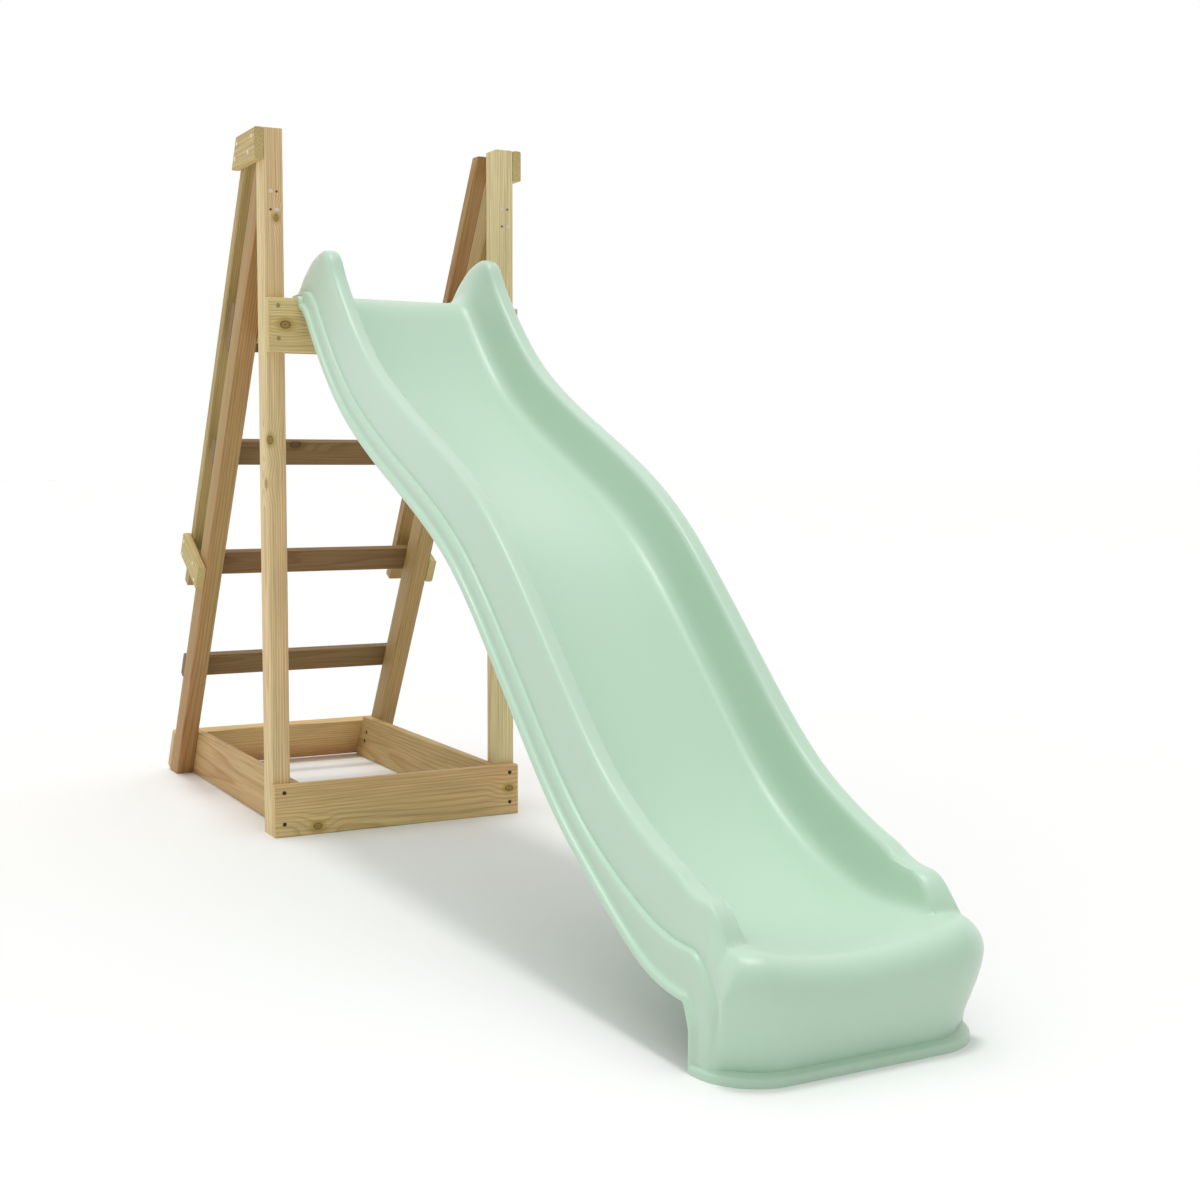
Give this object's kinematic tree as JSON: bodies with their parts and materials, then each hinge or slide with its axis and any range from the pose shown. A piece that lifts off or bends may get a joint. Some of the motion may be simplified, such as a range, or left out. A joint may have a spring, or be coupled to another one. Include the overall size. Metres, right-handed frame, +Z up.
{
  "type": "wave slide",
  "caption": "Garden wave slide: a moulded plastic chute on a timber A-frame with a ladder, handrails, a small platform and a sandpit base.",
  "frame": {"origin": "on the floor, at the middle of the whole outline", "axes": "+Z up, +X to the right for someone facing the chute's foot from the stand's front, -Y the way the chute runs down"},
  "size_m": [0.6474, 2.7837, 1.58],
  "materials": {
    "upright_timber": "planed, pressure-treated pine, grain upright",
    "leaning_timber": "planed, pressure-treated pine, grain along the leaning legs",
    "cross_timber": "planed, pressure-treated pine, grain from side to side",
    "side_timber": "planed, pressure-treated pine, grain from front to back",
    "plate_timber": "planed, pressure-treated pine, grain square to the legs",
    "moulded_plastic": "satin, mint green, rotation or blow moulded polyethylene",
    "plated_steel": "yellow zinc plated",
    "dark_steel": "dark phosphate coat"
  },
  "bodies": {
    "root": {"left_post": "upright_timber", "right_post": "upright_timber", "left_leg": "leaning_timber", "right_leg": "leaning_timber", "left_handrail": "leaning_timber", "right_handrail": "leaning_timber", "left_top_plate": "side_timber", "right_top_plate": "side_timber", "base_left_board": "side_timber", "base_right_board": "side_timber", "platform_left_rail": "side_timber", "platform_right_rail": "side_timber", "left_lower_plate": "plate_timber", "right_lower_plate": "plate_timber", "lower_rung": "cross_timber", "middle_rung": "cross_timber", "upper_rung": "cross_timber", "base_front_board": "cross_timber", "base_back_board": "cross_timber", "platform_front_beam": "cross_timber", "platform_rear_beam": "cross_timber", "front_deck_board": "cross_timber", "rear_deck_board": "cross_timber", "slide_chute": "moulded_plastic", "post_screws": "plated_steel", "top_plate_screws": "plated_steel", "lower_plate_screws": "plated_steel", "rung_screws": "plated_steel", "platform_screws": "plated_steel", "platform_rail_screws": "plated_steel", "deck_screws": "plated_steel", "chute_screws": "plated_steel", "chute_washers": "plated_steel", "base_front_screws": "dark_steel", "base_back_screws": "dark_steel", "base_side_screws": "dark_steel"}
  },
  "joints": []
}
